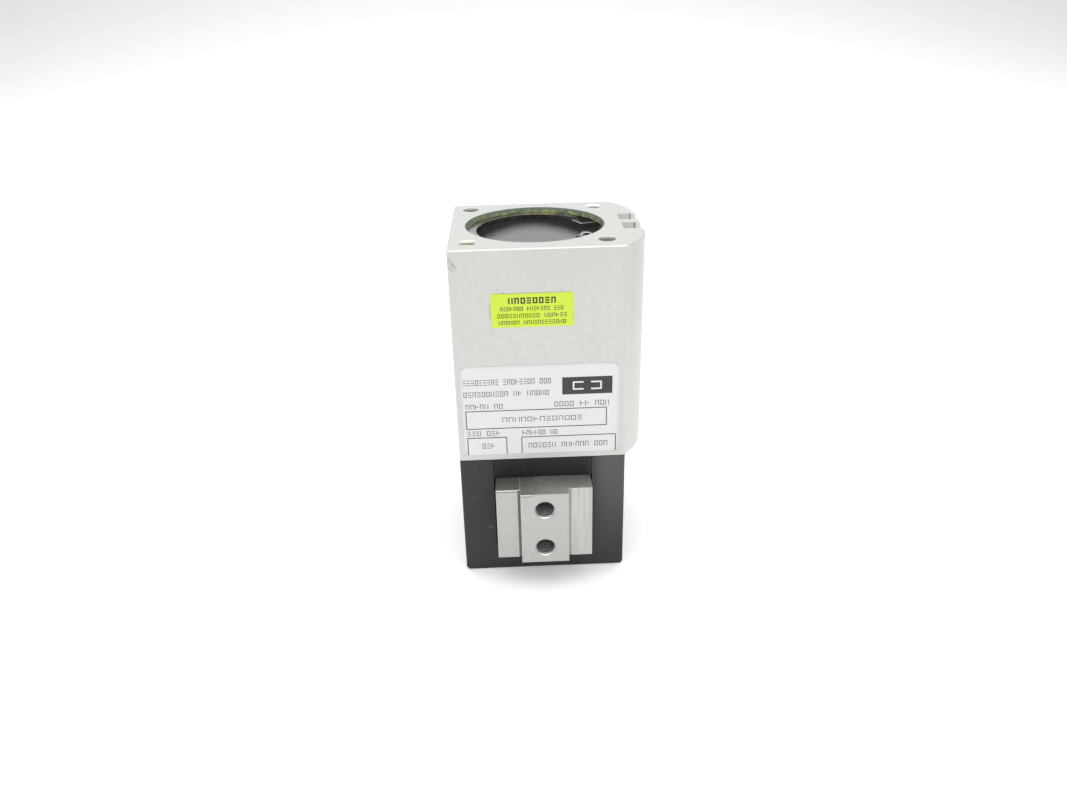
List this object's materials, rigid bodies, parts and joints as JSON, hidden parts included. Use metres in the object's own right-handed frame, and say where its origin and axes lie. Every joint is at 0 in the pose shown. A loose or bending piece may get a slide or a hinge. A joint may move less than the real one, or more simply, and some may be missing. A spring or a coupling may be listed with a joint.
{
  "type": "pneumatic gripper",
  "caption": "Two-jaw parallel gripper: a square air cylinder with assist springs drives a wedge that slides the jaws apart in a cross channel.",
  "frame": {"origin": "centre of the jaw housing's underside, on the cylinder's axis", "axes": "+Z from the jaws up the cylinder's axis to the mounting end, +Y along the rear jaw's opening travel, +X towards the sensor slots"},
  "size_m": [0.0716, 0.094, 0.1333],
  "materials": {
    "clear_anodised": "satin clear anodised",
    "black_anodised": "matte black anodised",
    "black_cover": "matte black anodised",
    "cap_metal": "dark satin",
    "piston_metal": "machined",
    "ring_steel": "satin",
    "jaw_steel": "ground",
    "tool_steel": "ground",
    "rod_chrome": "polished",
    "screw_steel": "black oxide",
    "pin_steel": "ground",
    "spring_steel": "satin",
    "bronze": "machined",
    "seal_rubber": "matte",
    "bumper_rubber": "matte",
    "wear_plastic": "matte",
    "magnet": "matte",
    "label_white": "printed film",
    "label_yellow": "printed film"
  },
  "bodies": {
    "cylinder": {"cylinder_body": "clear_anodised", "retaining_ring": "ring_steel", "end_cap": "cap_metal", "end_cap_o_ring": "seal_rubber", "rod_bushing": "bronze", "rod_seal": "seal_rubber", "bumper": "bumper_rubber", "jaw_housing": "black_anodised", "channel_cover": "black_cover", "guide_rail_left": "tool_steel", "guide_rail_right": "tool_steel", "rail_screws": "screw_steel", "cover_screws": "screw_steel", "housing_screws": "screw_steel", "dowel_pins": "pin_steel", "nameplate": "label_white", "yellow_label": "label_yellow"},
    "piston": {"piston": "piston_metal", "piston_seal_lower": "seal_rubber", "piston_seal_upper": "seal_rubber", "magnet_ring": "magnet", "wear_ring": "wear_plastic", "piston_rod": "rod_chrome", "piston_screw": "screw_steel", "outer_spring": "spring_steel", "inner_spring": "spring_steel", "wedge_cam": "tool_steel", "cross_pin": "pin_steel"},
    "front_jaw": {"front_jaw": "jaw_steel"},
    "rear_jaw": {"rear_jaw": "jaw_steel"}
  },
  "joints": [
    {"name": "piston_slide", "type": "slide", "parent": "cylinder", "child": "piston", "axis": [0, 0, 1], "range_m": [0, 0.019], "stiffness_N_per_m": 2000, "springref_m": -0.012, "deforming": ["outer_spring", "inner_spring"]},
    {"name": "front_jaw_slide", "type": "slide", "parent": "cylinder", "child": "front_jaw", "axis": [0, 1, 0], "range_m": [0, 0.0095]},
    {"name": "rear_jaw_slide", "type": "slide", "parent": "cylinder", "child": "rear_jaw", "axis": [0, -1, 0], "range_m": [0, 0.0095]}
  ],
  "couplings": [
    {"joint": "front_jaw_slide", "follows": "piston_slide", "ratio": 0.5},
    {"joint": "rear_jaw_slide", "follows": "piston_slide", "ratio": 0.5}
  ]
}
